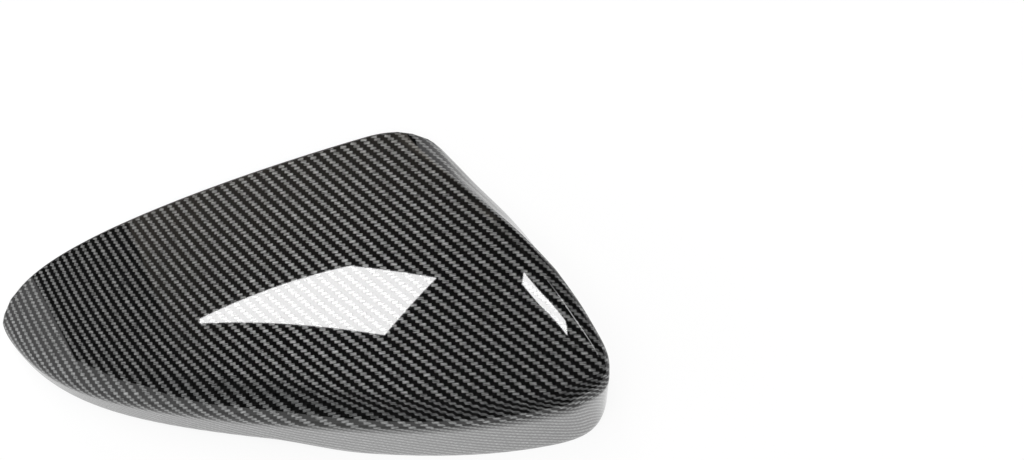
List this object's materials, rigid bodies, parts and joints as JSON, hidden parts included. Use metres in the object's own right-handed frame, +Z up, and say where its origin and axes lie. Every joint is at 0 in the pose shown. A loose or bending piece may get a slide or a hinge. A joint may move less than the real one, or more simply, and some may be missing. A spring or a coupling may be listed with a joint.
{
  "type": "wing mirror cover",
  "caption": "Clip-on wing mirror cover: a pointed plastic shell with a deep skirt, soft shoulders and a free back edge, gloss twill print outside, hooks and locating pins inside.",
  "frame": {"origin": "middle of the footprint, on the plane that the rim rests on", "axes": "+X from the pointed inboard tip to the outboard end, +Y from the skirt to the free back edge, +Z up out of the crowned face"},
  "size_m": [0.2138, 0.1138, 0.0505],
  "materials": {
    "gloss_twill_print": "injection-moulded black ABS, outside printed with a grey and black twill weave under clear gloss lacquer, inside bare"
  },
  "bodies": {
    "root": {"mirror_cover": "gloss_twill_print"}
  },
  "joints": []
}
